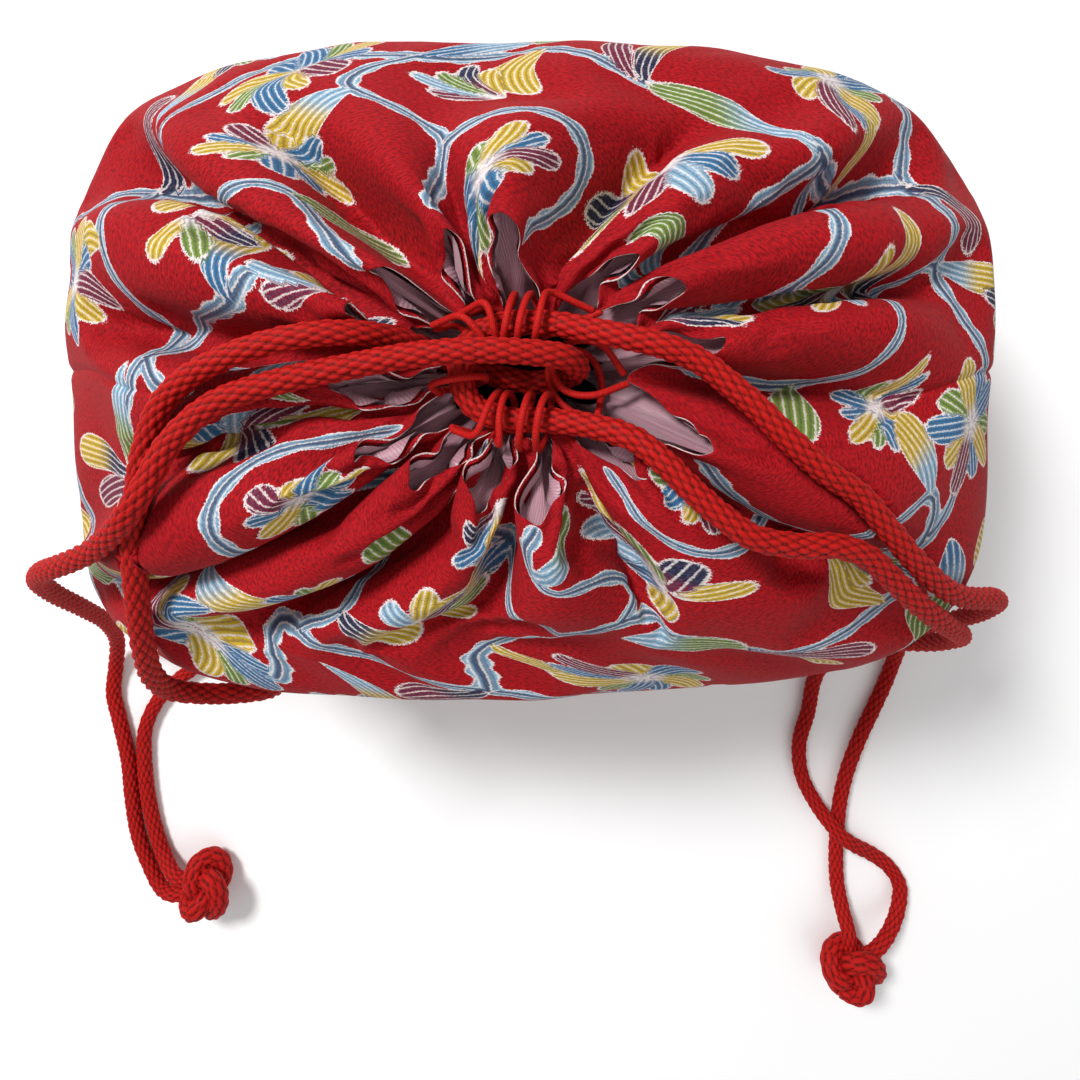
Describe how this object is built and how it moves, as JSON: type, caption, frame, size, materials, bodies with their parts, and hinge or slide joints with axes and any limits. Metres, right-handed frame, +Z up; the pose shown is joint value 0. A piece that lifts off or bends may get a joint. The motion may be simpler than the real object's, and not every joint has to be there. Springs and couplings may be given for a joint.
{
  "type": "kinchaku drawstring pouch",
  "caption": "Boxy soft cloth drawstring pouch with a gathered mouth, thin hem loops and thick knotted drawstrings lying out in front.",
  "frame": {"origin": "on the surface the pouch stands on, under the middle of its body", "axes": "+X along the long side of the base, +Y to the back, away from the drawstrings' knots, +Z up"},
  "size_m": [0.323, 0.3369, 0.1618],
  "materials": {
    "outer_fabric": "fine crepe weave with a printed floral pattern",
    "lining_fabric": "satin twill",
    "base_board": "matt",
    "drawstring_cord": "round braid",
    "loop_cord": "thin twisted cord"
  },
  "bodies": {
    "root": {"outer_back_panel": "outer_fabric", "outer_front_panel": "outer_fabric", "outer_base_panel": "outer_fabric", "base_board": "base_board", "lining": "lining_fabric", "loop_01": "loop_cord", "loop_02": "loop_cord", "loop_03": "loop_cord", "loop_04": "loop_cord", "loop_05": "loop_cord", "loop_06": "loop_cord", "loop_07": "loop_cord", "loop_08": "loop_cord", "loop_09": "loop_cord", "loop_10": "loop_cord", "loop_11": "loop_cord", "loop_12": "loop_cord", "drawstring_left": "drawstring_cord", "drawstring_right": "drawstring_cord", "knot_left": "drawstring_cord", "knot_right": "drawstring_cord"}
  },
  "joints": []
}
